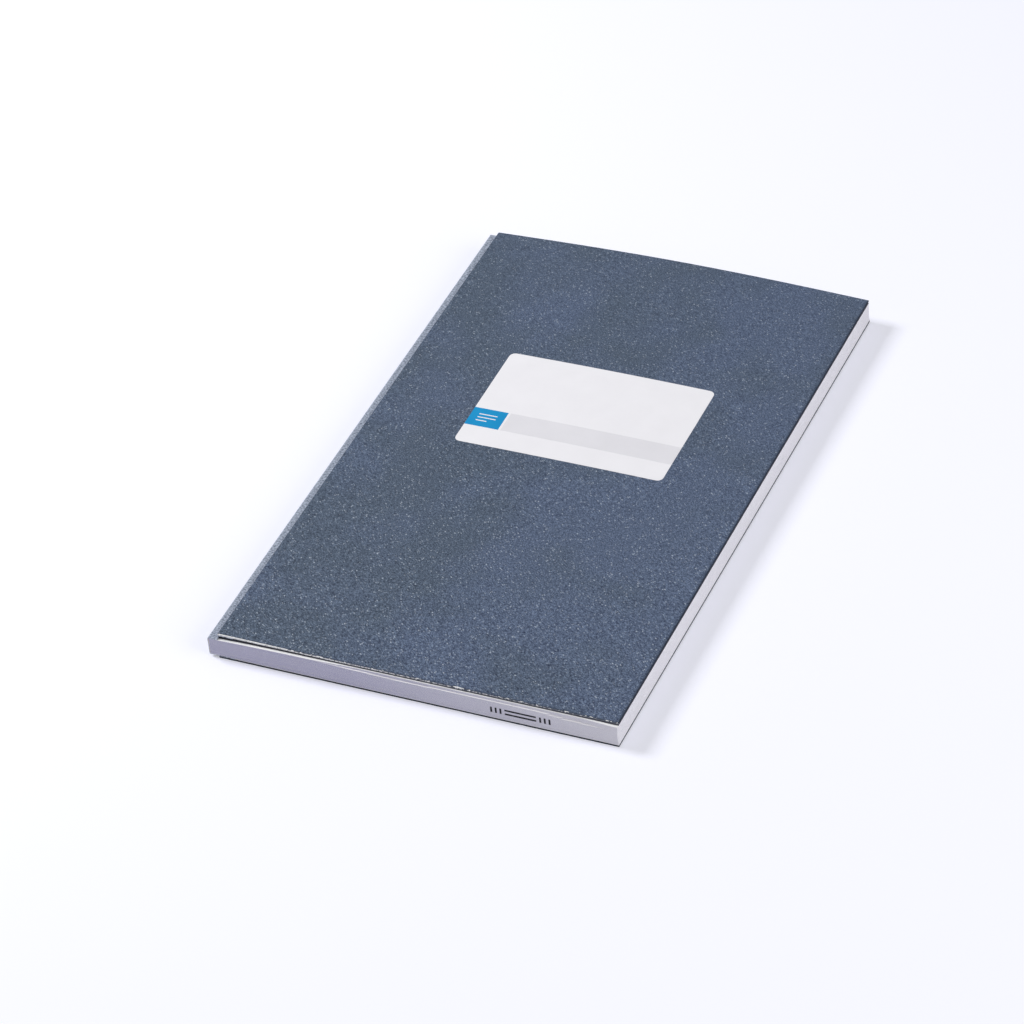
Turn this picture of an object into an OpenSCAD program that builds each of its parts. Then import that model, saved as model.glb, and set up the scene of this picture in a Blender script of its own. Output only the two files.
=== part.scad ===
// Folio notebook with two card covers, a linen tape spine and a title label.
// The notebook lies on its back card: x runs from the spine to the fore edge,
// y from the tail to the head, and z up from the back card's outer face.

/* [Notebook] */
// Width from the back of the spine to the fore edge
book_w = 205; // [130:1:260]
// Height from the tail edge to the head edge
book_h = 330; // [200:1:400]

/* [Pages] */
// Number of leaves in the page block
leaves = 100; // [60:4:192]
// Thickness of one leaf where the pages lie loose, at the fore edge
leaf_loose = 0.105; // [0.1:0.005:0.16]
// Thickness of one leaf where the binding presses it, at the spine
leaf_pressed = 0.09; // [0.07:0.005:0.1]
// Distance in which most of the swelling from pressed to loose is done
swell_run = 25; // [15:1:80]
// Height of the block's underside at the spine above that at the fore edge
spine_rise = 0.45; // [0.35:0.05:1]
// Thickness of each endpaper
endpaper_t = 0.12; // [0.08:0.01:0.25]

/* [Covers] */
// Thickness of the front and back cards
card_t = 0.85; // [0.4:0.05:1.5]
// Distance that both cards are set back from the spine
card_setback = 4.9; // [3:0.1:12]
// Air between the back card and its endpaper at the fore edge
back_gap = 0.15; // [0.1:0.05:0.4]
// Air between the front card and its endpaper at the fore edge
front_gap = 0.75; // [0.3:0.05:2]
// Distance that the front card stops short of the pages at the tail
front_trim = 1.3; // [0:0.1:3]
// Height of the front card's warp, greatest at the middle of the head edge
card_warp = 2.5; // [0:0.1:4]
// How soon the warp dies out towards the tail
warp_fade = 1.5; // [1:0.1:3]
// Room left between an opened card and the tape that it folds back over
fold_gap = 0.1; // [0.05:0.05:0.5]

/* [Spine] */
// Thickness of the linen tape
tape_t = 0.2; // [0.1:0.05:0.4]
// Width of the tape that is glued under each card
tape_flap = 8; // [4:0.5:15]
// Thickness of the glue on the back of the sewn pages
glue_t = 0.2; // [0.1:0.05:0.5]
// Diameter of the sewing thread
thread_d = 0.5; // [0.3:0.05:0.8]
// Number of sewing stations along the spine
stations = 10; // [4:1:16]
// Distance from the head and the tail to the outermost stations
station_inset = 18; // [10:1:40]

/* [Label] */
// Width of the title label
label_w = 108; // [60:1:110]
// Height of the title label
label_h = 71.5; // [40:0.5:90]
// Radius of the label's corners
label_r = 3; // [1:0.5:8]
// Thickness of the label
label_t = 0.1; // [0.05:0.05:0.3]
// Distance from the head edge to the label's upper edge
label_drop = 92.7; // [40:0.1:100]
// Distance of the label's middle from the card's middle, towards the fore edge
label_shift = 1; // [-4:0.5:2]

/* [Print] */
// Width of the blue field at the label's left edge
field_w = 17.8; // [10:0.1:30]
// Height of the blue field and of the grey band beside it
field_h = 13.5; // [8:0.1:20]
// Distance from the label's lower edge to the printed row
field_rise = 13.1; // [5:0.1:18]
// Bare line between the blue field and the grey band
field_gap = 1.2; // [0.5:0.1:3]
// Length of the longest bare line in the blue field
rule_l = 9.6; // [5:0.1:10]
// Width of a bare line in the blue field
rule_t = 0.7; // [0.3:0.1:1]
// Distance between the bare lines in the blue field
rule_pitch = 2.4; // [1.5:0.1:3]
// Thickness of the printed ink
ink_t = 0.04; // [0.02:0.01:0.08]

/* [Edge stamp] */
// Distance from the fore edge to the stamp's right end
stamp_inset = 33.9; // [15:0.1:60]
// Length of the stamp's two long strokes
stamp_l = 15.4; // [6:0.1:20]
// Thickness of a stroke
stamp_t = 0.9; // [0.3:0.1:1]
// Distance between the two long strokes
stamp_pitch = 2.2; // [1.2:0.1:3]
// Number of short upright strokes beside each end
stamp_ticks = 3; // [1:1:4]
// Distance between the upright strokes
tick_pitch = 2.3; // [1.2:0.1:2.5]
// Height of the stamp's middle above the underside of the pages
stamp_rise = 4.6; // [2.5:0.1:5]

/* [Hidden] */

// Places across the notebook
spine_x = -book_w / 2;
fore_x = book_w / 2;
tail_y = -book_h / 2;
head_y = book_h / 2;
tape_inner_x = spine_x + tape_t;
block_x = tape_inner_x + glue_t;
hinge_x = spine_x + card_setback;
card_w = fore_x - hinge_x;
front_y = tail_y + front_trim;
front_h = head_y - front_y;
wing_clear = 0.05;
wing_x = hinge_x + wing_clear + tape_t;
swell_x = wing_x + wing_clear;
tape_r = tape_t + glue_t;

// Heights at the fore edge, where the leaves lie loose
loose_low = card_t + back_gap + endpaper_t;
loose_top = loose_low + leaves * leaf_loose;
card_z = loose_top + endpaper_t + front_gap;
card_top = card_z + card_t;

// Heights at the spine, where the leaves are pressed and the tape wraps them
pressed_low = loose_low + spine_rise;
pressed_h = leaves * leaf_pressed;
pressed_top = pressed_low + pressed_h;
wing_low = pressed_low - endpaper_t - tape_t;
wing_top = pressed_top + endpaper_t + tape_t;

// Heights of the two hinge lines: half way between each card's outer face
// and the tape, so that an opened card lies flat over the tape
flap_clear = 0.1;
front_hinge_z = (card_top + wing_top + fold_gap + warp(spine_x + 2 * card_setback, head_y)) / 2;
back_hinge_z = (wing_low - fold_gap) / 2;
riser_top = min(front_hinge_z, card_z - tape_t) - flap_clear;

// Fineness of the curves
swell_steps = 18;
corner_steps = 6;
warp_cols = 14;
warp_rows = 8;
thread_fn = 24;
label_fn = 32;

// The label's edges, the printed row, and a height that reaches through them
label_x0 = hinge_x + card_w / 2 + label_shift - label_w / 2;
label_y1 = head_y - label_drop;
label_y0 = label_y1 - label_h;
field_y0 = label_y0 + field_rise;
band_x0 = label_x0 + field_w + field_gap;
band_w = label_x0 + label_w - band_x0;
label_z = card_top;
ink_z = label_z + label_t;
window_h = ink_z + card_warp + ink_t + 1;
rule_shares = [1, 1, 0.6];

// The edge stamp's middle height
stamp_z = loose_low + stamp_rise;
tick_h = stamp_pitch + stamp_t;
tick_gap = 1.6;
stamp_x1 = fore_x - stamp_inset;
line_x1 = stamp_x1 - stamp_ticks * tick_pitch - tick_gap + tick_pitch;
line_x0 = line_x1 - stamp_l;

// Rise of the front card's warp: an arch from spine to fore edge that grows
// from nothing at the tail to its full height at the head
function warp(x, y) = card_warp * pow((y - front_y) / front_h, warp_fade)
    * sin(180 * (x - hinge_x) / card_w);

// How loose the leaves lie: 0 under the tape, nearly 1 at the fore edge
function loosening(x) = x <= swell_x ? 0 : 1 - exp(-(x - swell_x) / swell_run);
function page_low(x) = pressed_low + (loose_low - pressed_low) * loosening(x);
function page_top(x) = pressed_top + (loose_top - pressed_top) * loosening(x);

// Places across the pages, closer together near the spine where the curve is
function page_places() = concat([block_x],
    [for (i = [0:swell_steps]) swell_x + (fore_x - swell_x) * pow(i / swell_steps, 2)]);

function reversed(list) = [for (i = [len(list) - 1:-1:0]) list[i]];

function quarter(x, z, r, start) = [for (i = [0:corner_steps])
    let (a = start + 90 * i / corner_steps) [x + r * cos(a), z + r * sin(a)]];

function station_y(i) = tail_y + station_inset
    + i * (book_h - 2 * station_inset) / (stations - 1);

// Cross-section drawn in x and z, run along the whole height of the notebook
module along_spine(points) {
    rotate([90, 0, 0])
        linear_extrude(height = book_h, center = true)
            polygon(points);
}

// Sheet between two curves over the pages
module page_sheet(low, top) {
    xs = page_places();
    along_spine(concat(
        [for (x = xs) [x, page_low(x) * low[0] + page_top(x) * low[1] + low[2]]],
        [for (x = reversed(xs)) [x, page_low(x) * top[0] + page_top(x) * top[1] + top[2]]]));
}

// Layer of the front cover over the card's whole face, following its warp
module warped_layer(z, t) {
    row = warp_cols + 1;
    count = row * (warp_rows + 1);
    grid = [for (j = [0:warp_rows]) for (i = [0:warp_cols])
        let (x = hinge_x + card_w * i / warp_cols, y = front_y + front_h * j / warp_rows)
            [x, y, z + warp(x, y)]];
    cells = [for (j = [0:warp_rows - 1]) for (i = [0:warp_cols - 1]) i + j * row];
    tail_edge = [for (i = [0:warp_cols - 1]) i];
    spine_edge = [for (j = [0:warp_rows - 1]) j * row];
    polyhedron(
        points = concat([for (p = grid) p + [0, 0, t]], grid),
        faces = concat(
            [for (a = cells) [a, a + row, a + row + 1]],
            [for (a = cells) [a, a + row + 1, a + 1]],
            [for (a = cells) [count + a, count + a + row + 1, count + a + row]],
            [for (a = cells) [count + a, count + a + 1, count + a + row + 1]],
            [for (a = tail_edge) [a, a + 1, count + a + 1, count + a]],
            [for (a = tail_edge) let (b = a + warp_rows * row)
                [b + 1, b, count + b, count + b + 1]],
            [for (a = spine_edge) [a + row, a, count + a, count + a + row]],
            [for (a = spine_edge) let (b = a + warp_cols)
                [b, b + row, count + b + row, count + b]]));
}

// Upright block over a rectangle of the front cover, to cut a piece of a layer
module cover_window(x, y, w, h) {
    translate([x, y, 0])
        cube([w, h, window_h]);
}

module stamp_bar(x, z, w, h) {
    translate([x, tail_y, z - h / 2])
        cube([w, ink_t, h]);
}

// Stamp on the tail edge of the pages: two long strokes between upright ticks
module stamp_shape() {
    for (side = [-1, 1])
        stamp_bar(line_x0, stamp_z + side * stamp_pitch / 2, stamp_l, stamp_t);
    for (i = [0:stamp_ticks - 1]) {
        stamp_bar(line_x1 + tick_gap + i * tick_pitch, stamp_z, stamp_t, tick_h);
        stamp_bar(line_x0 - tick_gap - i * tick_pitch - stamp_t, stamp_z, stamp_t, tick_h);
    }
}

// One upright run of thread per sewing station, let into the back of the pages
module stitches(r) {
    for (i = [0:stations - 1])
        translate([block_x + thread_d / 2, station_y(i), pressed_low])
            cylinder(h = pressed_h, r = r, $fn = thread_fn);
}

module page_block() {
    groove_clear = 0.02;
    color("#dcdae6")
        difference() {
            page_sheet([1, 0, 0], [0, 1, 0]);
            stitches(thread_d / 2 + groove_clear);
            stamp_shape();
        }
}

module front_endpaper() {
    color("#f2f1f6") page_sheet([0, 1, 0], [0, 1, endpaper_t]);
}

module back_endpaper() {
    color("#f2f1f6") page_sheet([1, 0, -endpaper_t], [1, 0, 0]);
}

module sewing_thread() {
    color("#f4efe2") stitches(thread_d / 2);
}

module spine_glue() {
    color("#e6d9b0")
        translate([tape_inner_x, tail_y, wing_low + tape_r])
            cube([glue_t, book_h, wing_top - wing_low - 2 * tape_r]);
}

// The tape wraps the back and both shoulders of the pages, and its front edge
// turns up under the card towards the flap that is glued there
module spine_tape() {
    turn_x = hinge_x + wing_clear;
    corner_x = spine_x + tape_r;
    high_z = wing_top - tape_r;
    low_z = wing_low + tape_r;
    color("#a9aebb")
        along_spine(concat(
            [[turn_x, riser_top], [turn_x, wing_top]],
            quarter(corner_x, high_z, tape_r, 90),
            quarter(corner_x, low_z, tape_r, 180),
            [[wing_x, wing_low], [wing_x, wing_low + tape_t]],
            reversed(quarter(corner_x, low_z, glue_t, 180)),
            reversed(quarter(corner_x, high_z, glue_t, 90)),
            [[wing_x, wing_top - tape_t], [wing_x, riser_top]]));
}

module front_tape_flap() {
    color("#a9aebb")
        intersection() {
            warped_layer(card_z - tape_t, tape_t);
            cover_window(hinge_x, front_y, tape_flap, front_h);
        }
}

module back_tape_flap() {
    color("#a9aebb")
        translate([hinge_x, tail_y, card_t])
            cube([tape_flap, book_h, tape_t]);
}

module front_cover() {
    color("#5b6678") warped_layer(card_z, card_t);
}

module back_cover() {
    color("#5b6678")
        translate([hinge_x, tail_y, 0])
            cube([card_w, book_h, card_t]);
}

module title_label() {
    inner_w = label_w - 2 * label_r;
    inner_h = label_h - 2 * label_r;
    color("#ececf1")
        intersection() {
            warped_layer(label_z, label_t);
            translate([label_x0 + label_r, label_y0 + label_r, 0])
                linear_extrude(height = window_h)
                    hull()
                        for (x = [0, inner_w], y = [0, inner_h])
                            translate([x, y]) circle(r = label_r, $fn = label_fn);
        }
}

// Blue field with three bare lines, like writing, left open in it
module label_blue_field() {
    mid_y = field_y0 + field_h / 2;
    color("#1b97cf")
        intersection() {
            warped_layer(ink_z, ink_t);
            difference() {
                cover_window(label_x0, field_y0, field_w, field_h);
                for (i = [0:len(rule_shares) - 1])
                    cover_window(label_x0 + (field_w - rule_l) / 2,
                        mid_y + (1 - i) * rule_pitch - rule_t / 2,
                        rule_l * rule_shares[i], rule_t);
            }
        }
}

module label_grey_band() {
    color("#dcdce2")
        intersection() {
            warped_layer(ink_z, ink_t);
            cover_window(band_x0, field_y0, band_w, field_h);
        }
}

module edge_stamp() {
    color("#2c2b3a") stamp_shape();
}

page_block();
front_endpaper();
back_endpaper();
sewing_thread();
spine_glue();
spine_tape();
front_tape_flap();
back_tape_flap();
front_cover();
back_cover();
title_label();
label_blue_field();
label_grey_band();
edge_stamp();
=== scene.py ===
import math
import random

import bpy
from mathutils import Matrix, Vector, noise


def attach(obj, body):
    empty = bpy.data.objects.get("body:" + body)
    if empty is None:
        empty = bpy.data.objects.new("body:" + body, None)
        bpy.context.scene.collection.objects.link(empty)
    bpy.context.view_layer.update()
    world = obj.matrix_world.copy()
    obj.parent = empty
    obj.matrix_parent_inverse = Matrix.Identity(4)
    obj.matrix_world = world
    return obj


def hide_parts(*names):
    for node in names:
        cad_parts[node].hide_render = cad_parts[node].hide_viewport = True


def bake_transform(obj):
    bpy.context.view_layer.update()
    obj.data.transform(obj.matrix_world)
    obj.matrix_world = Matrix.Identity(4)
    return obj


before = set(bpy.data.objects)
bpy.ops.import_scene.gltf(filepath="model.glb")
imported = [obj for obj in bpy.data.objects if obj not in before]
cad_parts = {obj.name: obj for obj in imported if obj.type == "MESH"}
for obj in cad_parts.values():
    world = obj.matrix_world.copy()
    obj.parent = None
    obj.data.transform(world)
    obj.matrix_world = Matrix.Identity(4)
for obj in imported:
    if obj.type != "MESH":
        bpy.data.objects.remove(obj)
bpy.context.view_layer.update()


# The pages: about a hundred leaves of white writing paper, folded and sewn in
# sections and cut flush on three sides. The binding presses them thin at the
# spine, and towards the fore edge they lie looser and the block swells.
MM = 0.001
fore_x, pages_x, swell_x = 102.5, -102.1, -97.3
tail_y, head_y = -165.0, 165.0
leaves, section_leaves = 100, 10
pressed_low, pressed_top = 1.57, 10.57
loose_low, loose_top = 1.12, 11.62
swell_run = 25.0
unrolled_mm = 100


def loosening(x):
    return 0.0 if x <= swell_x else 1.0 - math.exp(-(x - swell_x) / swell_run)


def page_low(x):
    return pressed_low + (loose_low - pressed_low) * loosening(x)


def page_top(x):
    return pressed_top + (loose_top - pressed_top) * loosening(x)


def piece(name, points, faces, materials, which=None, flat=None, turn=35.0):
    """A mesh object from points in millimetres; which gives each face's material
    and flat each point's place on the unrolled material, in millimetres."""
    mesh = bpy.data.meshes.new(name)
    mesh.from_pydata([Vector(p) * MM for p in points], [], faces)
    for material in materials:
        mesh.materials.append(material)
    if which:
        mesh.polygons.foreach_set("material_index", which)
    if flat:
        layer = mesh.uv_layers.new(name="unrolled")
        for loop in mesh.loops:
            u, v = flat[loop.vertex_index]
            layer.data[loop.index].uv = (u / unrolled_mm, v / unrolled_mm)
    mesh.validate()
    mesh.shade_smooth()
    mesh.set_sharp_from_angle(angle=math.radians(turn))
    made = bpy.data.objects.new(name, mesh)
    bpy.context.scene.collection.objects.link(made)
    return made


def rim_of(columns, rows):
    """Corners of a grid's rim in order: tail, fore edge, head, spine."""
    return ([(i, 0) for i in range(columns - 1)]
            + [(columns - 1, j) for j in range(rows - 1)]
            + [(i, rows - 1) for i in range(columns - 1, 0, -1)]
            + [(0, j) for j in range(rows - 1, 0, -1)])


def stacked(columns, rows, layers, place):
    """Points and faces of a closed slab: a grid on top and below, and a wall
    of layers round it. place(i, j, k) gives a point; k counts from the bottom."""
    points, faces, groups, index = [], [], [], {}

    def point(i, j, k):
        key = (i, j, k)
        if key not in index:
            index[key] = len(points)
            points.append(place(i, j, k))
        return index[key]

    rim = rim_of(columns, rows)
    for k in range(layers - 1):
        for a, b in zip(rim, rim[1:] + rim[:1]):
            faces.append((point(*a, k), point(*b, k), point(*b, k + 1), point(*a, k + 1)))
            groups.append(("wall", k, a, b))
    top = layers - 1
    for j in range(rows - 1):
        for i in range(columns - 1):
            faces.append((point(i, j, top), point(i + 1, j, top),
                          point(i + 1, j + 1, top), point(i, j + 1, top)))
            groups.append(("top", i, j, None))
            faces.append((point(i, j + 1, 0), point(i + 1, j + 1, 0),
                          point(i + 1, j, 0), point(i, j, 0)))
            groups.append(("bottom", i, j, None))
    return points, faces, groups


def spread(low, high, steps, power=1.0):
    return [low + (high - low) * (i / steps) ** power for i in range(steps + 1)]


page_columns = [pages_x] + spread(swell_x, fore_x, 68, 1.1)
page_rows = spread(tail_y, head_y, 26)
leaf_rng = random.Random(4)
leaf_scatter = 0.05
leaf_back = [leaf_rng.uniform(0.0, leaf_scatter) for _ in range(leaves)]
section_back = [leaf_rng.uniform(0.0, leaf_scatter) for _ in range(leaves // section_leaves)]
leaf_foot, leaf_crown = 0.12, 0.88
leaf_layers = [(0.0, 0, False)]
for leaf in range(leaves):
    leaf_layers += [((leaf + leaf_foot) / leaves, leaf, False),
                    ((leaf + leaf_crown) / leaves, leaf, False)]
    if leaf < leaves - 1:
        leaf_layers.append(((leaf + 1) / leaves, leaf, True))
leaf_layers.append((1.0, leaves - 1, False))

slip_places = [(-50.0, 0.0), (-30.0, 0.07), (-8.0, 0.13), (30.0, 0.12),
               (66.0, 0.12), (77.0, 0.24), (90.0, 0.25), (97.0, 0.24)]
slip_depth, slip_full_share, slip_fade = 0.72, 0.07, 12
lift_height, lift_full_share, lift_run = 0.12, 0.13, 14
bow_all, bow_tail, bow_run = 0.14, 0.18, 40
wave_run, wave_depth, leaf_step = 38, 0.04, 0.83
groove_depth, section_groove, spine_groove, spine_groove_run = 0.04, 0.05, 0.2, 7


def slip_border(x):
    """Share of the block's height that has slipped at the tail, from the top."""
    for (x0, share0), (x1, share1) in zip(slip_places, slip_places[1:]):
        if x0 <= x <= x1:
            return share0 + (share1 - share0) * (x - x0) / (x1 - x0)
    return 0.0


def slipped(x, leaf):
    """Set-back of the uppermost leaves, which have slipped against the rest."""
    if (leaf + 0.5) / leaves < 1.0 - slip_border(x):
        return 0.0
    return slip_depth * min(1.0, slip_border(x) / slip_full_share,
                            (slip_places[-1][0] - x) / slip_fade)


def lifted(x, y, share):
    """Rise of the slipped leaves, which stand a little off the rest at the tail."""
    border = slip_border(x)
    if border == 0.0 or share < 1.0 - border:
        return 0.0
    arch = math.sin(math.pi * min(1.0, border / lift_full_share) / 2)
    return lift_height * arch * math.exp(-(y - tail_y) / lift_run)


def fore_bow(y, share):
    """The fore edge draws in between the outer leaves, most at the tail."""
    return math.sin(math.pi * share) * (bow_all + bow_tail * math.exp(-(y - tail_y) / bow_run))


def cut_back(x, y, leaf, groove):
    """How far a leaf's cut edge lies behind the trimmed face."""
    way = noise.noise(Vector((x / wave_run, y / wave_run, leaf * leaf_step))) * 0.5 + 0.5
    back = leaf_back[leaf] + section_back[leaf // section_leaves] + wave_depth * way
    if groove:
        back += groove_depth
        if (leaf + 1) % section_leaves == 0:
            back += section_groove + spine_groove * math.exp(-(x - pages_x) / spine_groove_run)
    return back


def page_point(i, j, k):
    share, leaf, groove = leaf_layers[k]
    x, y = page_columns[i], page_rows[j]
    z = page_low(x) + (page_top(x) - page_low(x)) * share + lifted(x, y, share)
    back = cut_back(x, y, leaf, groove)
    px, py = x, y
    if i == len(page_columns) - 1:
        px -= back + fore_bow(y, share)
    if j == 0:
        py += back + slipped(x, leaf)
    if j == len(page_rows) - 1:
        py -= back
    return (px, py, z)


def unrolled_pages(points):
    """Runs along the cut edge and up the leaves, so that a streak stays on its leaf."""
    flat = []
    for x, y, z in points:
        low, top = page_low(x), page_top(x)
        flat.append((x + y, 100.0 * (z - low) / (top - low)))
    return flat


def node_in(tree, kind, **settings):
    """A shader node with its settings; a socket is given by its name with
    underscores for spaces, or as s and its number, and takes a value or the
    socket that feeds it."""
    made = tree.nodes.new(kind)
    for key, value in settings.items():
        if hasattr(made, key):
            setattr(made, key, value)
            continue
        numbered = key[0] == "s" and key[1:].isdigit()
        socket = made.inputs[int(key[1:]) if numbered else key.replace("_", " ")]
        if isinstance(value, bpy.types.NodeSocket):
            tree.links.new(value, socket)
        else:
            socket.default_value = value
    return made


def effect(name, takes, gives):
    """A node group with its named inputs and outputs."""
    tree = bpy.data.node_groups.new(name, "ShaderNodeTree")
    for label, kind, value in takes:
        socket = tree.interface.new_socket(name=label, in_out="INPUT", socket_type=kind)
        if value is not None:
            socket.default_value = value
    for label, kind in gives:
        tree.interface.new_socket(name=label, in_out="OUTPUT", socket_type=kind)
    return tree, tree.nodes.new("NodeGroupInput"), tree.nodes.new("NodeGroupOutput")


def colour(red, green, blue):
    """A colour picked on screen, 0 to 255, as the renderer counts it."""
    parts = [c / 255 for c in (red, green, blue)]
    return tuple(c / 12.92 if c <= 0.04045 else ((c + 0.055) / 1.055) ** 2.4
                 for c in parts) + (1.0,)


def material(name, roughness, specular=0.3):
    made = bpy.data.materials.new(name)
    made.use_nodes = True
    tree = made.node_tree
    shader = tree.nodes["Principled BSDF"]
    shader.inputs["Roughness"].default_value = roughness
    shader.inputs["Specular IOR Level"].default_value = specular
    return made, tree, shader


def two_tone(tree, share, dark, light):
    """Mixes two colours by a share that changes over the surface."""
    mix = node_in(tree, "ShaderNodeMix", data_type="RGBA")
    tree.links.new(share, mix.inputs[0])
    for at, value in ((6, dark), (7, light)):
        if isinstance(value, bpy.types.NodeSocket):
            tree.links.new(value, mix.inputs[at])
        else:
            mix.inputs[at].default_value = value
    return mix.outputs[2]


def bumped(tree, shader, height, depth_mm):
    bump = node_in(tree, "ShaderNodeBump", Strength=1.0, Distance=depth_mm * MM, Height=height)
    tree.links.new(bump.outputs["Normal"], shader.inputs["Normal"])


# Paper fibre: soft clouds and fine felted grain, which all uncoated paper and
# the bare board of the cards have.
paper_fibre, fibre_in, fibre_out = effect(
    "paper_fibre",
    [("Vector", "NodeSocketVector", None), ("Grain per metre", "NodeSocketFloat", 2200.0)],
    [("Height", "NodeSocketFloat"), ("Cloud", "NodeSocketFloat")])
fibre_felt = node_in(paper_fibre, "ShaderNodeTexNoise", Vector=fibre_in.outputs[0],
                     Scale=fibre_in.outputs[1], Detail=3.0, Roughness=0.6)
fibre_cloud = node_in(paper_fibre, "ShaderNodeTexNoise", Vector=fibre_in.outputs[0],
                      Scale=65.0, Detail=3.0, Roughness=0.55)
paper_fibre.links.new(fibre_felt.outputs[0], fibre_out.inputs["Height"])
paper_fibre.links.new(fibre_cloud.outputs[0], fibre_out.inputs["Cloud"])


def paper(name, dark, light, roughness=0.75, depth_mm=0.02, grain=2200.0):
    """Uncoated paper between two tones of its colour."""
    made, tree, shader = material(name, roughness, 0.25)
    place = node_in(tree, "ShaderNodeTexCoord")
    fibre = node_in(tree, "ShaderNodeGroup", node_tree=paper_fibre)
    tree.links.new(place.outputs["Object"], fibre.inputs["Vector"])
    fibre.inputs["Grain per metre"].default_value = grain
    spread_out = node_in(tree, "ShaderNodeMapRange", From_Min=0.3, From_Max=0.7,
                         Value=fibre.outputs["Cloud"])
    tree.links.new(two_tone(tree, spread_out.outputs[0], dark, light), shader.inputs["Base Color"])
    bumped(tree, shader, fibre.outputs["Height"], depth_mm)
    return made, tree, shader


trimmed_pages, tree, shader = material("trimmed_pages", 0.8, 0.2)
edge_map = node_in(tree, "ShaderNodeUVMap", uv_map="unrolled")
along_leaf = node_in(tree, "ShaderNodeMapping", Vector=edge_map.outputs[0], Scale=(2.5, 42.0, 1.0))
streaks = node_in(tree, "ShaderNodeTexNoise", Vector=along_leaf.outputs[0], Scale=1.0, Detail=3.0,
                  Roughness=0.7)
streak_share = node_in(tree, "ShaderNodeMapRange", Value=streaks.outputs[0], From_Min=0.32,
                       From_Max=0.68)
wide_leaf = node_in(tree, "ShaderNodeMapping", Vector=edge_map.outputs[0], Scale=(1.2, 5.0, 1.0))
clouds = node_in(tree, "ShaderNodeTexNoise", Vector=wide_leaf.outputs[0], Scale=1.0, Detail=2.0)
place_on_edge = node_in(tree, "ShaderNodeSeparateXYZ", Vector=edge_map.outputs[0])
# Painted shade: the cut edges are darker and bluer towards the spine along the tail face.
spine_shade_share = node_in(tree, "ShaderNodeMapRange", Value=place_on_edge.outputs["X"], From_Min=-2.0,
                      From_Max=-0.63)
shut_leaf = two_tone(tree, spine_shade_share.outputs[0], colour(187, 185, 209), colour(227, 225, 233))
even_leaf = two_tone(tree, spine_shade_share.outputs[0], colour(195, 193, 217), colour(235, 233, 240))
open_leaf = two_tone(tree, spine_shade_share.outputs[0], colour(205, 203, 226), colour(243, 242, 248))
leaf_tone = two_tone(tree, streak_share.outputs[0], shut_leaf, open_leaf)
page_tone = two_tone(tree, clouds.outputs[0], even_leaf, leaf_tone)
# Painted highlight: faces of the leaves that point upwards, such as the ledges where leaves have
# slipped, get a near white in place of the cut edge's tone.
facing = node_in(tree, "ShaderNodeNewGeometry")
facing_up = node_in(tree, "ShaderNodeSeparateXYZ", Vector=facing.outputs["Normal"])
upward_highlight = node_in(tree, "ShaderNodeMapRange", Value=facing_up.outputs["Z"], From_Min=0.35,
                From_Max=0.75)
tree.links.new(two_tone(tree, upward_highlight.outputs[0], page_tone, colour(252, 251, 254)),
               shader.inputs["Base Color"])
bumped(tree, shader, streaks.outputs[0], 0.03)

points, faces, _ = stacked(len(page_columns), len(page_rows), len(leaf_layers), page_point)
pages = piece("sewn_pages", points, faces, [trimmed_pages], flat=unrolled_pages(points), turn=60)
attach(pages, "block")
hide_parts("page_block")


# The endpapers: one white sheet on each side of the pages, hung on the
# outermost sections and cut with them. The front one shows as a bright line,
# and carries painted shade: it turns dark grey under the card's tail and fore edges.
endpaper_t = 0.12
sheet_columns = [pages_x] + spread(swell_x, fore_x, 60, 1.2)
sheet_rows = spread(tail_y, head_y, 70, 1.15)
front_y = -163.7
shade_tail, shade_fore = (6.0, 1.6), (4.5, 1.2)
white_sheet, _, _ = paper("white_sheet", colour(246, 246, 249), colour(252, 252, 254))
shaded_sheet, tree, shader = paper("shaded_sheet", colour(246, 246, 249), colour(252, 252, 254))
place = node_in(tree, "ShaderNodeTexCoord")
place_parts = node_in(tree, "ShaderNodeSeparateXYZ", Vector=place.outputs["Object"])
# Painted shade: a dark grey band on the front sheet just inside the card's tail and fore edges,
# fading inwards. The strip that stands out past the card's tail stays clean.
at_tail = node_in(tree, "ShaderNodeMapRange", Value=place_parts.outputs["Y"],
                  From_Min=(front_y - 0.05) * MM, From_Max=(front_y + 0.1) * MM)
off_tail = node_in(tree, "ShaderNodeMapRange", Value=place_parts.outputs["Y"],
                   From_Min=(front_y + shade_tail[0]) * MM,
                   From_Max=(front_y + shade_tail[1]) * MM)
fore_shade = node_in(tree, "ShaderNodeMapRange", Value=place_parts.outputs["X"],
                   From_Min=(fore_x - shade_fore[0]) * MM,
                   From_Max=(fore_x - shade_fore[1]) * MM)
shade_edges = node_in(tree, "ShaderNodeMath", operation="MAXIMUM", s0=off_tail.outputs[0],
                      s1=fore_shade.outputs[0])
wear_and_shade = node_in(tree, "ShaderNodeMath", operation="MULTIPLY", s0=shade_edges.outputs[0],
              s1=at_tail.outputs[0])
clean_tone = shader.inputs["Base Color"].links[0].from_socket
tree.links.new(two_tone(tree, wear_and_shade.outputs[0], clean_tone, colour(92, 95, 106)),
               shader.inputs["Base Color"])

for name, low, node_name, sheet_paper in (
        ("front_sheet", lambda x, y: page_top(x) + lifted(x, y, 1.0),
         "front_endpaper", shaded_sheet),
        ("back_sheet", lambda x, y: page_low(x) - endpaper_t,
         "back_endpaper", white_sheet)):
    def sheet_point(i, j, k):
        x, y = sheet_columns[i], sheet_rows[j]
        back = slipped(x, leaves - 1) if name == "front_sheet" and j == 0 else 0.0
        return (x, y + back, low(x, y) + endpaper_t * k)

    points, faces, _ = stacked(len(sheet_columns), len(sheet_rows), 2, sheet_point)
    sheet = piece(name, points, faces, [sheet_paper])
    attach(sheet, "block")
    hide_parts(node_name)


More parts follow.
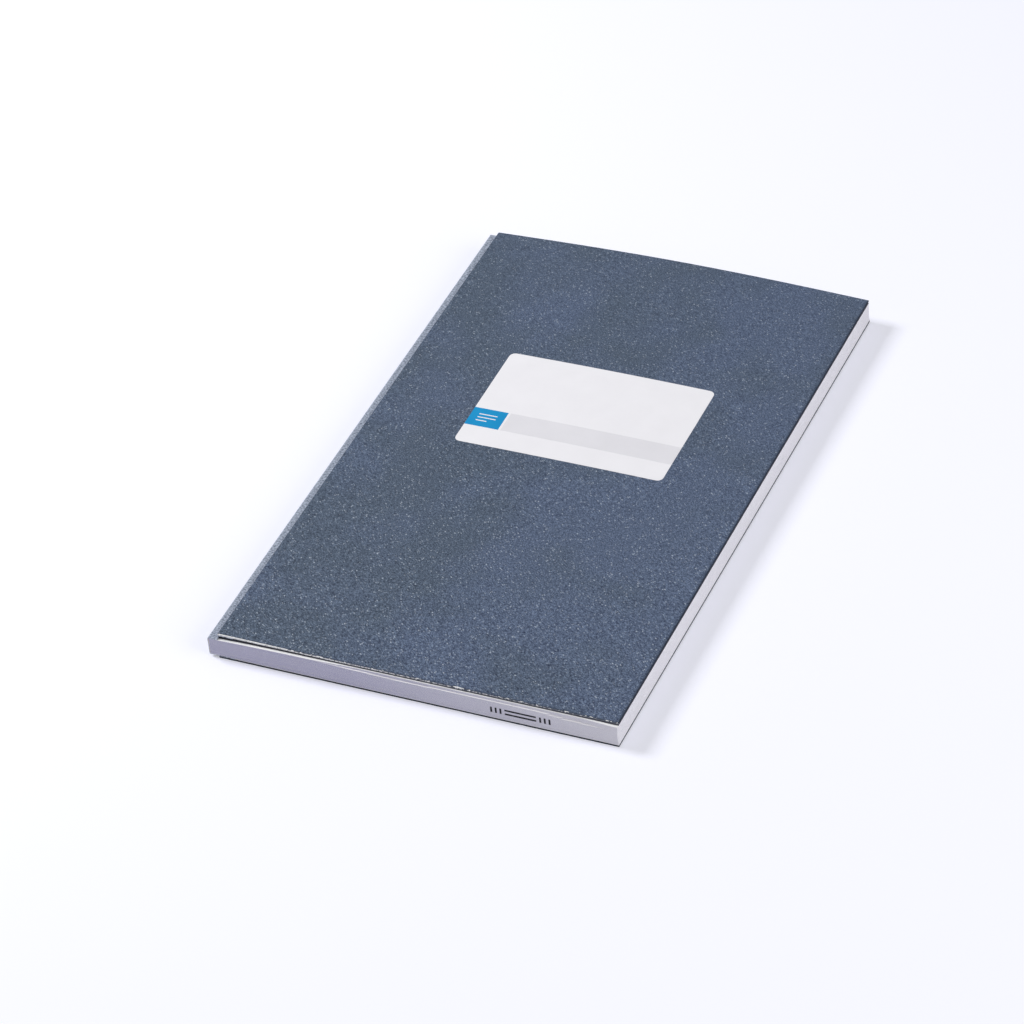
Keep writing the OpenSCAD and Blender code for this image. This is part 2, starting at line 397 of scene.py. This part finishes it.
# The sewing: unbleached two-ply thread, drawn up and down through the folds at
# ten stations, and the glue rolled over the folds before the tape goes on.
sewing_cord, tree, shader = material("sewing_cord", 0.85, 0.2)
place = node_in(tree, "ShaderNodeTexCoord")
ply_lean = node_in(tree, "ShaderNodeMapping", Vector=place.outputs["Object"],
                   Rotation=(0.6, 0.6, 0.0))
ply = node_in(tree, "ShaderNodeTexWave", Vector=ply_lean.outputs[0], bands_direction="Z",
              Scale=380.0, Distortion=1.2)
tree.links.new(two_tone(tree, ply.outputs["Fac"], colour(205, 196, 172), colour(240, 234, 216)),
               shader.inputs["Base Color"])
bumped(tree, shader, ply.outputs["Fac"], 0.08)
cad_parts["sewing_thread"].data.materials[0] = sewing_cord

dried_glue, tree, shader = material("dried_glue", 0.35, 0.5)
place = node_in(tree, "ShaderNodeTexCoord")
brushed = node_in(tree, "ShaderNodeTexNoise", Vector=place.outputs["Object"], Scale=260.0,
                  Detail=4.0)
tree.links.new(two_tone(tree, brushed.outputs[0], colour(212, 203, 178), colour(240, 235, 218)),
               shader.inputs["Base Color"])
bumped(tree, shader, brushed.outputs[0], 0.12)
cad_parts["spine_glue"].data.materials[0] = dried_glue


# The spine tape: one strip of silver-grey linen-finish book tape, glued round
# the spine and flat on both shoulders of the pages. At each card it bends in
# under the board, where its flap is glued, and that bend is the cover's hinge.
spine_x, hinge_x = -102.5, -97.6
tape_t, tape_bend_r = 0.2, 0.4
wing_low, wing_top = 1.25, 10.89
tape_cut_x = -97.9
card_z, card_t, card_warp, warp_fade = 12.49, 0.85, 2.5, 1.5
card_w = fore_x - hinge_x


def warp(x, y):
    """Rise of the front card: an arch that grows from the tail to the head."""
    across = min(max((x - hinge_x) / card_w, 0.0), 1.0)
    along = max((y - front_y) / (head_y - front_y), 0.0)
    return card_warp * along ** warp_fade * math.sin(math.pi * across)


def rounded_turn(x, z, r, start, end, steps=8):
    return [(x + r * math.cos(math.radians(start + (end - start) * i / steps)),
             z + r * math.sin(math.radians(start + (end - start) * i / steps)))
            for i in range(steps + 1)]


def strip(name, line, rows, materials, settle=None):
    """A ribbon of tape along the spine: line is its middle in x and z, and
    settle moves its points onto the piece that they are glued to."""
    half = tape_t / 2
    across, lengths = [], [0.0]
    for a, b in zip(line, line[1:]):
        lengths.append(lengths[-1] + math.dist(a, b))
    for i, (x, z) in enumerate(line):
        a, b = line[max(i - 1, 0)], line[min(i + 1, len(line) - 1)]
        way = Vector((b[0] - a[0], b[1] - a[1])).normalized()
        across.append(((x - way.y * half, z + way.x * half),
                       (x + way.y * half, z - way.x * half)))
    ring = [a for a, _ in across] + [b for _, b in reversed(across)]
    along = lengths + lengths[::-1]
    count = len(ring)
    points, flat = [], []
    for y in rows:
        for (x, z), u in zip(ring, along):
            points.append(settle(x, y, z) if settle else (x, y, z))
            flat.append((u, y))
    faces = []
    for j in range(len(rows) - 1):
        for i in range(count):
            a, b = j * count + i, j * count + (i + 1) % count
            faces.append((a, b, b + count, a + count))
    half_way = count // 2
    last = (len(rows) - 1) * count
    for i in range(half_way - 1):
        a, b, c, d = i, i + 1, count - 2 - i, count - 1 - i
        faces.append((d, c, b, a))
        faces.append((last + a, last + b, last + c, last + d))
    return piece(name, points, faces, materials, flat=flat, turn=50)


linen_weave, linen_in, linen_out = effect(
    "linen_weave",
    [("Vector", "NodeSocketVector", None), ("Threads per unit", "NodeSocketFloat", 90.0),
     ("Slubs per unit", "NodeSocketFloat", 31.0)],
    [("Height", "NodeSocketFloat"), ("Tone", "NodeSocketFloat")])
uneven = node_in(linen_weave, "ShaderNodeTexNoise", Vector=linen_in.outputs[0], Scale=60.0,
                 Detail=2.0)
pull = node_in(linen_weave, "ShaderNodeVectorMath", operation="MULTIPLY_ADD", s0=uneven.outputs[1],
               s1=(0.008, 0.008, 0.0), s2=linen_in.outputs[0])
ribs = []
for direction in ("X", "Y"):
    rib = node_in(linen_weave, "ShaderNodeTexWave", Vector=pull.outputs[0],
                  bands_direction=direction, Scale=linen_in.outputs[1], Distortion=0.0)
    ribs.append(rib.outputs["Fac"])
crossing = node_in(linen_weave, "ShaderNodeMath", operation="MULTIPLY_ADD", s0=ribs[0], s1=0.35)
linen_weave.links.new(ribs[1], crossing.inputs[2])
slub = node_in(linen_weave, "ShaderNodeTexWave", Vector=pull.outputs[0], bands_direction="Y",
               Scale=linen_in.outputs[2], Distortion=3.5, Detail=3.0, Detail_Roughness=0.7)
drawn_out = node_in(linen_weave, "ShaderNodeMapping", Vector=linen_in.outputs[0],
                    Scale=(0.6, 1.0, 1.0))
smudge = node_in(linen_weave, "ShaderNodeTexNoise", Vector=drawn_out.outputs[0], Scale=135.0,
                 Detail=3.0, Roughness=0.7)
slubbed = node_in(linen_weave, "ShaderNodeMath", operation="MULTIPLY_ADD", s0=slub.outputs["Fac"],
                  s1=0.1)
linen_weave.links.new(smudge.outputs[0], slubbed.inputs[2])
tone = node_in(linen_weave, "ShaderNodeMath", operation="MULTIPLY_ADD", s0=crossing.outputs[0],
               s1=0.12)
linen_weave.links.new(slubbed.outputs[0], tone.inputs[2])
linen_weave.links.new(crossing.outputs[0], linen_out.inputs["Height"])
linen_weave.links.new(tone.outputs[0], linen_out.inputs["Tone"])

silver_linen, tree, shader = material("silver_linen", 0.6, 0.35)
roll = node_in(tree, "ShaderNodeUVMap", uv_map="unrolled")
weave = node_in(tree, "ShaderNodeGroup", node_tree=linen_weave)
tree.links.new(roll.outputs[0], weave.inputs["Vector"])
weave_share = node_in(tree, "ShaderNodeMapRange", Value=weave.outputs["Tone"], From_Min=0.46,
                      From_Max=0.80)
cloth_tone = two_tone(tree, weave_share.outputs[0], colour(80, 91, 113), colour(208, 218, 237))
across_roll = node_in(tree, "ShaderNodeSeparateXYZ", Vector=roll.outputs[0])
# Painted highlight: the cloth turns pale in two narrow lines running along the spine, at its upper
# bend and next to its cut end by the card, where these edges catch the light.
bend_highlight_share = None
for fold_u, reach, strength in ((0.0442, 0.0046, 0.8), (0.0025, 0.007, 0.5)):
    off_fold = node_in(tree, "ShaderNodeMath", operation="SUBTRACT", s0=across_roll.outputs["X"],
                       s1=fold_u)
    near_fold = node_in(tree, "ShaderNodeMath", operation="ABSOLUTE", s0=off_fold.outputs[0])
    bend_highlight = node_in(tree, "ShaderNodeMapRange", Value=near_fold.outputs[0], From_Min=reach,
                   From_Max=0.0, To_Max=strength)
    if bend_highlight_share is None:
        bend_highlight_share = bend_highlight.outputs[0]
    else:
        both = node_in(tree, "ShaderNodeMath", operation="MAXIMUM", s0=bend_highlight_share,
                       s1=bend_highlight.outputs[0])
        bend_highlight_share = both.outputs[0]
tree.links.new(two_tone(tree, bend_highlight_share, cloth_tone, colour(208, 215, 226)),
               shader.inputs["Base Color"])
bumped(tree, shader, weave.outputs["Height"], 0.07)

tape_rows = spread(tail_y, head_y, 110)
corner_r = tape_bend_r - tape_t / 2
top_z, low_z = wing_top - tape_t / 2, wing_low + tape_t / 2
corner_x = spine_x + tape_bend_r
spine_line = ([(x, top_z) for x in spread(tape_cut_x, corner_x + 0.15, 8)]
              + rounded_turn(corner_x, wing_top - tape_bend_r, corner_r, 90, 180)
              + [(spine_x + tape_t / 2, z) for z in spread(9.9, 1.9, 10)]
              + rounded_turn(corner_x, wing_low + tape_bend_r, corner_r, 180, 270)
              + [(x, low_z) for x in spread(corner_x + 0.15, tape_cut_x, 8)])
spine_strip = strip("spine_strip", spine_line, tape_rows, [silver_linen])
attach(spine_strip, "block")
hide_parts("spine_tape")

flap_l = 8.0
flap_end_x = hinge_x + flap_l
flap_z = card_z - tape_t / 2
fold_x, riser_x, turn_x, flap_x = -97.63, -97.45, -97.2, -96.9
fold_r, turn_r = 0.18, 0.25
front_line = ([(tape_cut_x, top_z), (-97.75, top_z)]
              + rounded_turn(fold_x, top_z + fold_r, fold_r, 270, 360, 5)
              + [(riser_x, z) for z in spread(top_z + 0.25, flap_z - 0.35, 6)]
              + rounded_turn(turn_x, flap_z - turn_r, turn_r, 180, 90, 6)
              + [(x, flap_z) for x in spread(flap_x, flap_end_x, 12)])


def under_card(x, y, z):
    """The front flap ends with the card at the tail and follows its warp."""
    held = min(max((z - top_z) / (flap_z - top_z), 0.0), 1.0)
    y += held * (front_y - tail_y) * (head_y - y) / (head_y - tail_y)
    return (x, y, z + warp(x, y))


front_strip = strip("front_hinge_strip", front_line, tape_rows, [silver_linen], under_card)
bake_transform(front_strip)
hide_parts("front_tape_flap")

back_flap_z = card_t + tape_t / 2
back_fold_r, back_flap_x = 0.16, -97.1
back_line = ([(tape_cut_x, low_z), (-97.68, low_z)]
             + rounded_turn(-97.62, low_z - back_fold_r, back_fold_r, 90, 0, 5)
             + rounded_turn(-97.28, back_flap_z + fold_r, fold_r, 180, 270, 5)
             + [(x, back_flap_z) for x in spread(back_flap_x, flap_end_x, 12)])
back_strip = strip("back_hinge_strip", back_line, tape_rows, [silver_linen])
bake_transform(back_strip)
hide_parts("back_tape_flap")


# The cards: white board with a blue-grey skin that is embossed with a fine
# pebble grain, and a plain white lining inside. The knife has bared and chipped
# the white board at the tail. The skin carries painted glints and painted shade
# in its pits and near its edges, and the walls at the fore edge and the back
# card's tail are dark skin as painted shade.
skin_t, rim_r = 0.10, 0.10
skin_face, cut_face, lining_face, skin_wall_and_shade_face, bared_face = range(5)
card_columns = spread(hinge_x, fore_x, 260)
chips = [(20.6, 26.6, 1.0), (75.2, 78.6, 0.6), (88.1, 90.4, 0.6), (43.6, 44.6, 0.5),
         (47.6, 48.4, 0.5), (54.2, 56.0, 0.5), (33.0, 34.0, 0.5), (62.1, 63.0, 0.45),
         (-47.0, -45.5, 0.5), (3.0, 4.5, 0.5), (-20.0, -18.9, 0.4), (96.0, 97.4, 0.5)]
chip_depth, bared_depth, bared_run = 0.3, 0.3, 60


def chipping(x, y, tail):
    """How deep the rim is chipped at a place on the card's edge, in millimetres."""
    wear_and_shade = max(0.0, noise.noise(Vector((x / 2.2, y / 2.2, 7.7)))) * 0.06
    if y <= tail:
        wear_and_shade += max(0.0, noise.noise(Vector((x / 1.3, 3.3, 1.9))) - 0.1) * 0.35
        for start, end, depth in chips:
            if start < x < end:
                wear_and_shade += depth * chip_depth * math.sin(math.pi * (x - start) / (end - start)) ** 0.6
    return wear_and_shade


def bared(x, y, tail):
    """How far the knife has pulled the skin off the front card's tail edge,
    most at the spine."""
    if tail == front_y and y <= tail:
        return bared_depth * max(0.0, 1.0 - (x - hinge_x) / bared_run)
    return 0.0


# Heights and insets of the card's wall from the lining to the outer face,
# which is the upper one here and is turned over for the back card.
card_wall = [(rim_r, 0.0), (0.03, 0.03), (0.0, 0.07), (0.0, card_t - skin_t),
             (0.012, card_t - 0.05), (0.04, card_t - 0.015), (rim_r, card_t)]
skin_level = 3
wall_wear = {3: 0.1, 4: 0.7, 5: 1.0, 6: 1.0}
chip_sink, white_from = 0.6, 0.12


def card_shape(rise, outer_up, z, tail):
    card_rows = spread(tail, head_y, 160)

    def place(i, j, k):
        inset, height = card_wall[k] if outer_up else card_wall[::-1][k]
        if not outer_up:
            height = card_t - height
        x, y = card_columns[i], card_rows[j]
        chip = chipping(x, y, tail) + bared(x, y, tail)
        near = wall_wear.get(k if outer_up else len(card_wall) - 1 - k, 0.0)
        inset += chip * near
        sink = chip * near * (0.0 if height in (0.0, card_t) else chip_sink)
        z_at = z + rise(x, y) + (height - sink if outer_up else height + sink)
        if i == 0:
            x += inset
        if i == len(card_columns) - 1:
            x -= inset
        if j == 0:
            y += inset
        if j == len(card_rows) - 1:
            y -= inset
        return (x, y, z_at)

    points, faces, groups = stacked(len(card_columns), len(card_rows), len(card_wall), place)
    which = []
    for kind, k, a, b in groups:
        if kind == "wall":
            level = k if outer_up else len(card_wall) - 2 - k
            at = (card_columns[a[0]], card_rows[a[1]], tail)
            # Painted shade: the fore edge's wall and the back card's tail wall take the dark skin
            # in place of the bare board. The skin layer's own wall takes it as its real colour.
            dark_edge = at[0] >= fore_x or (at[1] <= tail and not outer_up)
            if level >= skin_level:
                worn_through = chipping(*at) + bared(*at) > white_from
                which.append(bared_face if worn_through else skin_wall_and_shade_face)
            else:
                which.append(skin_wall_and_shade_face if dark_edge else cut_face)
        else:
            which.append(skin_face if (kind == "top") == outer_up else lining_face)
    return points, faces, which


pebble_grain, pebble_in, pebble_out = effect(
    "pebble_grain",
    [("Vector", "NodeSocketVector", None), ("Pebbles per metre", "NodeSocketFloat", 1750.0),
     ("Glint amount", "NodeSocketFloat", 0.62)],
    [("Height", "NodeSocketFloat"), ("Painted glint", "NodeSocketFloat"), ("Mottle", "NodeSocketFloat"),
     ("Grain", "NodeSocketFloat")])
sway = node_in(pebble_grain, "ShaderNodeTexNoise", Vector=pebble_in.outputs[0], Scale=900.0,
               Detail=2.0)
swayed = node_in(pebble_grain, "ShaderNodeVectorMath", operation="MULTIPLY_ADD",
                 s0=sway.outputs[1], s1=(0.0006, 0.0006, 0.0006), s2=pebble_in.outputs[0])
pebbles = node_in(pebble_grain, "ShaderNodeTexVoronoi", Vector=swayed.outputs[0],
                  feature="SMOOTH_F1", Scale=pebble_in.outputs[1], Smoothness=0.35)
fine = node_in(pebble_grain, "ShaderNodeTexNoise", Vector=pebble_in.outputs[0], Scale=2600.0,
               Detail=2.0, Roughness=0.6)
height = node_in(pebble_grain, "ShaderNodeMath", operation="MULTIPLY_ADD", s0=fine.outputs[0],
                 s1=0.5)
pebble_grain.links.new(pebbles.outputs["Distance"], height.inputs[2])
pebble_grain.links.new(height.outputs[0], pebble_out.inputs["Height"])
drawn = node_in(pebble_grain, "ShaderNodeMapping", vector_type="TEXTURE", Vector=swayed.outputs[0],
                Rotation=(0.0, 0.0, -0.65), Scale=(1.5, 0.85, 1.0))
# Painted glints: sparse bright dots, strongest at their middles, which the skin mixes into its
# colour as painted highlights.
glints = node_in(pebble_grain, "ShaderNodeTexVoronoi", Vector=drawn.outputs[0], feature="F1",
                 Scale=1050.0)
glint_pick = node_in(pebble_grain, "ShaderNodeSeparateColor", Color=glints.outputs["Color"])
chosen = node_in(pebble_grain, "ShaderNodeMath", operation="LESS_THAN", s0=glint_pick.outputs[0],
                 s1=pebble_in.outputs[2])
dot = node_in(pebble_grain, "ShaderNodeMapRange", Value=glints.outputs["Distance"], From_Min=0.48,
              From_Max=0.1)
glint_dot = node_in(pebble_grain, "ShaderNodeMath", operation="MULTIPLY", s0=chosen.outputs[0],
                s1=dot.outputs[0])
faintness = node_in(pebble_grain, "ShaderNodeMath", operation="POWER", s0=glint_pick.outputs[1],
                    s1=3.3)
strength = node_in(pebble_grain, "ShaderNodeMath", operation="MULTIPLY", s0=glint_dot.outputs[0],
                   s1=faintness.outputs[0])
pebble_grain.links.new(strength.outputs[0], pebble_out.inputs["Painted glint"])
mottle = node_in(pebble_grain, "ShaderNodeTexNoise", Vector=pebble_in.outputs[0], Scale=24.0,
                 Detail=2.0, Roughness=0.5)
pebble_grain.links.new(mottle.outputs[0], pebble_out.inputs["Mottle"])
crumb = node_in(pebble_grain, "ShaderNodeTexNoise", Vector=drawn.outputs[0], Scale=1500.0,
                Detail=1.5, Roughness=0.7)
pebble_grain.links.new(crumb.outputs[0], pebble_out.inputs["Grain"])

blue_grey_skin, tree, shader = material("blue_grey_skin", 0.6, 0.22)
place = node_in(tree, "ShaderNodeTexCoord")
grain = node_in(tree, "ShaderNodeGroup", node_tree=pebble_grain)
tree.links.new(place.outputs["Object"], grain.inputs["Vector"])
place_parts = node_in(tree, "ShaderNodeSeparateXYZ", Vector=place.outputs["Object"])
bluer = node_in(tree, "ShaderNodeMath", operation="MULTIPLY_ADD", s0=place_parts.outputs["X"],
                s1=1.1)
tree.links.new(grain.outputs["Mottle"], bluer.inputs[2])
mottle_share = node_in(tree, "ShaderNodeMapRange", Value=bluer.outputs[0], From_Min=0.36,
                       From_Max=0.64)
dark_tone = two_tone(tree, mottle_share.outputs[0], colour(22, 33, 50), colour(28, 38, 66))
light_tone = two_tone(tree, mottle_share.outputs[0], colour(113, 129, 151),
                      colour(120, 137, 165))
crumb_share = node_in(tree, "ShaderNodeMapRange", Value=grain.outputs["Grain"], From_Min=0.3,
                      From_Max=0.7)
# Painted light: the glints and the grain's contrast fade from the tail towards the head, as the
# light catches them less there.
light_falloff = node_in(tree, "ShaderNodeMapRange", Value=place_parts.outputs["Y"],
                   From_Min=tail_y * MM, From_Max=head_y * MM, To_Min=0.92, To_Max=0.6)
off_middle = node_in(tree, "ShaderNodeMath", operation="SUBTRACT", s0=crumb_share.outputs[0],
                     s1=0.5)
grain_share = node_in(tree, "ShaderNodeMath", operation="MULTIPLY_ADD", s0=off_middle.outputs[0],
                      s1=light_falloff.outputs[0], s2=0.5)
skin_tone = two_tone(tree, grain_share.outputs[0], dark_tone, light_tone)
# Painted shade: the skin is darker in the pits of its pebble grain.
pit_shade_share = node_in(tree, "ShaderNodeMapRange", Value=grain.outputs["Height"], From_Min=0.3,
                    From_Max=0.7)
pit_shaded = two_tone(tree, pit_shade_share.outputs[0], colour(44, 55, 78), skin_tone)
# Painted highlight: the glints mix a pale blue-grey into the skin's colour.
glint_share = node_in(tree, "ShaderNodeMath", operation="MULTIPLY", s0=grain.outputs["Painted glint"],
                      s1=light_falloff.outputs[0])
glinted = two_tone(tree, glint_share.outputs[0], pit_shaded, colour(204, 214, 228))
# Painted shade: the skin darkens towards the cards' tail and fore edges.
tail_edge_shade = node_in(tree, "ShaderNodeMapRange", Value=place_parts.outputs["Y"],
                     From_Min=(front_y + 1.3) * MM, From_Max=(front_y + 0.3) * MM, To_Max=0.45)
fore_edge_shade = node_in(tree, "ShaderNodeMapRange", Value=place_parts.outputs["X"],
                     From_Min=(fore_x - 1.3) * MM, From_Max=(fore_x - 0.3) * MM, To_Max=0.6)
edge_shade = node_in(tree, "ShaderNodeMath", operation="MAXIMUM", s0=tail_edge_shade.outputs[0],
                  s1=fore_edge_shade.outputs[0])
tree.links.new(two_tone(tree, edge_shade.outputs[0], glinted, colour(48, 58, 76)),
               shader.inputs["Base Color"])
sheen_share = node_in(tree, "ShaderNodeMapRange", Value=grain.outputs["Mottle"], From_Min=0.3,
                      From_Max=0.7, To_Min=0.54, To_Max=0.66)
tree.links.new(sheen_share.outputs[0], shader.inputs["Roughness"])
bumped(tree, shader, grain.outputs["Height"], 0.10)

# Dark skin: the real colour of the skin's cut wall, and painted shade where it covers the walls at
# the fore edge and the back card's tail.
dark_skin_and_shade, tree, shader = material("dark_skin_and_shade", 0.7, 0.12)
place = node_in(tree, "ShaderNodeTexCoord")
dark_skin_noise = node_in(tree, "ShaderNodeTexNoise", Vector=place.outputs["Object"], Scale=700.0,
                  Detail=3.0)
tree.links.new(two_tone(tree, dark_skin_noise.outputs[0], colour(22, 27, 38), colour(62, 70, 86)),
               shader.inputs["Base Color"])
bumped(tree, shader, dark_skin_noise.outputs[0], 0.05)

white_board, _, _ = paper("white_board", colour(238, 238, 240), colour(254, 254, 254),
                          0.85, 0.05, 1500.0)
cut_board, tree, shader = paper("cut_board", colour(236, 236, 238), colour(250, 250, 251),
                                0.85, 0.05)
place = node_in(tree, "ShaderNodeTexCoord")
place_parts = node_in(tree, "ShaderNodeSeparateXYZ", Vector=place.outputs["Object"])
knife = node_in(tree, "ShaderNodeMapping", Vector=place.outputs["Object"], Scale=(1.0, 1.0, 0.4))
smears = node_in(tree, "ShaderNodeTexNoise", Vector=knife.outputs[0], Scale=800.0, Detail=3.0,
                 Roughness=0.6)
more_at_fore = node_in(tree, "ShaderNodeMath", operation="MULTIPLY_ADD",
                       s0=place_parts.outputs["X"], s1=1.2, s2=smears.outputs[0])
smear_share = node_in(tree, "ShaderNodeMapRange", Value=more_at_fore.outputs[0], From_Min=0.43,
                      From_Max=0.58, To_Max=0.92)
clean_tone = shader.inputs["Base Color"].links[0].from_socket
tree.links.new(two_tone(tree, smear_share.outputs[0], clean_tone, colour(84, 92, 108)),
               shader.inputs["Base Color"])
white_lining, _, _ = paper("white_lining", colour(228, 227, 231), colour(240, 239, 242))

card_papers = [blue_grey_skin, cut_board, white_lining, dark_skin_and_shade, white_board]
points, faces, which = card_shape(warp, True, card_z, front_y)
front_card = piece("front_card", points, faces, card_papers, which)
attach(front_card, "front")
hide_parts("front_cover")

points, faces, which = card_shape(lambda x, y: 0.0, False, 0.0, tail_y)
back_card = piece("back_card", points, faces, card_papers, which)
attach(back_card, "back")
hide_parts("back_cover")


# The title label: smooth white paper with punched round corners, glued on the
# front card and following its bend.
label_x0, label_y0, label_w, label_h, label_r = -50.55, 0.8, 108.0, 71.5, 3.0
label_z, label_t = card_z + card_t, 0.10
corner_rows = spread(0.0, label_r, 8, 1.6)
label_rows = (corner_rows + spread(label_r, label_h - label_r, 30)[1:-1]
              + [label_h - y for y in reversed(corner_rows)])
label_columns = 55


def label_point(i, j, k):
    from_edge = min(label_rows[j], label_h - label_rows[j])
    short = label_r - from_edge
    inset = label_r - math.sqrt(max(label_r ** 2 - short ** 2, 0.0)) if short > 0 else 0.0
    x = label_x0 + inset + (label_w - 2 * inset) * i / (label_columns - 1)
    y = label_y0 + label_rows[j]
    return (x, y, label_z + warp(x, y) + label_t * k)


label_paper, _, _ = paper("label_paper", colour(242, 241, 246), colour(245, 244, 249), 0.6, 0.008)
points, faces, _ = stacked(label_columns, len(label_rows), 2, label_point)
label = piece("title_label_sheet", points, faces, [label_paper])
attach(label, "front")
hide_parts("title_label")


# The print on the label: a blue field with three bare lines in it at the left
# edge, a hairline gap, and a light grey band that runs on to the right edge.
ink_z, ink_t = label_z + label_t, 0.04
field_w, field_h, field_rise, field_gap = 17.8, 13.5, 13.1, 1.2
rule_l, rule_t, rule_pitch, rule_margin = 9.6, 0.7, 2.4, 2.0
short_rule = 0.6
field_y0 = label_y0 + field_rise


def printed(name, xs, ys, bare, ink):
    """A thin print in the cells of a grid, apart from the bare ones."""
    points, faces, index = [], [], {}

    def point(i, j, k):
        key = (i, j, k)
        if key not in index:
            index[key] = len(points)
            points.append((xs[i], ys[j], ink_z + warp(xs[i], ys[j]) + ink_t * k))
        return index[key]

    inked = {(i, j) for i in range(len(xs) - 1) for j in range(len(ys) - 1) if not bare(i, j)}
    for i, j in sorted(inked):
        corners = [(i, j), (i + 1, j), (i + 1, j + 1), (i, j + 1)]
        faces.append(tuple(point(*c, 1) for c in corners))
        faces.append(tuple(point(*c, 0) for c in reversed(corners)))
        for side, other in enumerate(((i, j - 1), (i + 1, j), (i, j + 1), (i - 1, j))):
            if other not in inked:
                a, b = corners[side], corners[(side + 1) % 4]
                faces.append((point(*a, 0), point(*b, 0), point(*b, 1), point(*a, 1)))
    return piece(name, points, faces, [ink])


blue_ink, _, _ = paper("blue_ink", colour(6, 140, 200), colour(14, 150, 208), 0.65, 0.006)
grey_ink, _, _ = paper("grey_ink", colour(228, 227, 233), colour(232, 231, 237), 0.6, 0.006)

rule_x0 = label_x0 + (field_w - rule_l) / 2
rule_ends = [rule_x0 + rule_l * short_rule, rule_x0 + rule_l]
field_xs = ([label_x0, rule_x0 - rule_margin] + spread(rule_x0, rule_ends[0], 3)
            + [rule_ends[1], rule_ends[1] + rule_margin, label_x0 + field_w])
middle_y = field_y0 + field_h / 2
field_ys = [field_y0, field_y0 + rule_margin]
for step in (-1, 0, 1):
    field_ys += [middle_y + step * rule_pitch - rule_t / 2,
                 middle_y + step * rule_pitch + rule_t / 2]
field_ys += [field_y0 + field_h - rule_margin, field_y0 + field_h]


def on_rule(i, j):
    """Whether a cell of the blue field lies on a bare line; the lowest is short."""
    if j not in (2, 4, 6):
        return False
    last = 5 if j > 2 else 4
    return 2 <= i <= last


blue_field = printed("blue_field_print", field_xs, field_ys, on_rule, blue_ink)
band_x0 = label_x0 + field_w + field_gap
grey_band = printed("grey_band_print", spread(band_x0, label_x0 + label_w, 40),
                    spread(field_y0, field_y0 + field_h, 6), lambda i, j: False, grey_ink)
for print_piece, node_name, slot_name in ((blue_field, "label_blue_field", "blue_ink"),
                                          (grey_band, "label_grey_band", "grey_ink")):
    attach(print_piece, "front")
    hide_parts(node_name)


# The stamp on the tail edge: thin dark ink across the cut leaves, a little
# patchy where a leaf lies back.
stamp_ink, tree, shader = material("stamp_ink", 0.6, 0.3)
place = node_in(tree, "ShaderNodeTexCoord")
patchy = node_in(tree, "ShaderNodeTexNoise", Vector=place.outputs["Object"], Scale=2400.0,
                 Detail=2.0)
patch_share = node_in(tree, "ShaderNodeMapRange", Value=patchy.outputs[0], From_Min=0.5,
                      From_Max=0.8)
tree.links.new(two_tone(tree, patch_share.outputs[0], colour(14, 14, 24), colour(50, 49, 64)),
               shader.inputs["Base Color"])
bumped(tree, shader, patchy.outputs[0], 0.02)
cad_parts["edge_stamp"].data.materials[0] = stamp_ink


# The table: a plain pale sheet that the notebook lies on. It shows near white
# and keeps the notebook's shadow.
floor_half = 6
floor_corners = [(-floor_half, -floor_half, 0), (floor_half, -floor_half, 0),
                 (floor_half, floor_half, 0), (-floor_half, floor_half, 0)]
floor_mesh = bpy.data.meshes.new("floor")
floor_mesh.from_pydata(floor_corners, [], [(0, 1, 2, 3)])
floor = bpy.data.objects.new("floor", floor_mesh)
bpy.context.scene.collection.objects.link(floor)
floor_white, tree, shader = material("floor_white", 0.9, 0.1)
shader.inputs["Base Color"].default_value = (0.74, 0.75, 0.86, 1.0)
seen = node_in(tree, "ShaderNodeLightPath")
shader.inputs["Emission Color"].default_value = (1.0, 1.0, 1.0, 1.0)
lift = node_in(tree, "ShaderNodeMath", operation="MULTIPLY", s0=seen.outputs["Is Camera Ray"],
               s1=0.28)
tree.links.new(lift.outputs[0], shader.inputs["Emission Strength"])
floor_mesh.materials.append(floor_white)


# Soft studio light: a large lamp from behind the spine, a softer one from the
# fore edge's side, and an even white room.
def lamp(name, place_at, size, watts):
    data = bpy.data.lights.new(name, "AREA")
    data.shape, data.size, data.energy = "SQUARE", size, watts
    made = bpy.data.objects.new(name, data)
    made.location = place_at
    made.rotation_euler = (-Vector(place_at)).to_track_quat("-Z", "Y").to_euler()
    bpy.context.scene.collection.objects.link(made)


lamp("key_lamp", (-1.3, 0.05, 1.2), 0.55, 19.6)
lamp("fill_lamp", (1.6, -0.25, 0.75), 1.3, 13.0)

room = bpy.data.worlds.new("room")
room.use_nodes = True
bpy.context.scene.world = room
room_tree = room.node_tree
backdrop = room_tree.nodes["Background"]
backdrop.inputs["Color"].default_value = (1.0, 1.0, 1.0, 1.0)
seen = node_in(room_tree, "ShaderNodeLightPath")
shown = node_in(room_tree, "ShaderNodeMapRange", Value=seen.outputs["Is Camera Ray"], To_Min=0.38,
                To_Max=1.0)
room_tree.links.new(shown.outputs[0], backdrop.inputs["Strength"])


# The camera: a long lens that looks down from beyond the tail, turned a little.
# Its place and its right and up directions are in the notebook's frame.
camera_data = bpy.data.cameras.new("camera")
camera_data.sensor_width, camera_data.lens = 36.0, 163.9
camera_data.clip_start = 0.05
camera = bpy.data.objects.new("camera", camera_data)
bpy.context.scene.collection.objects.link(camera)
right, up = Vector((0.9159, 0.3928, -0.0831)).normalized(), Vector((-0.1893, 0.6050, 0.7734))
back = right.cross(up).normalized()
up = back.cross(right)
camera_at = Matrix.Translation((0.7772, -1.5649, 1.3963))
camera.matrix_world = camera_at @ Matrix((right, up, back)).transposed().to_4x4()
bpy.context.scene.camera = camera

bpy.context.scene.view_settings.view_transform = "Standard"
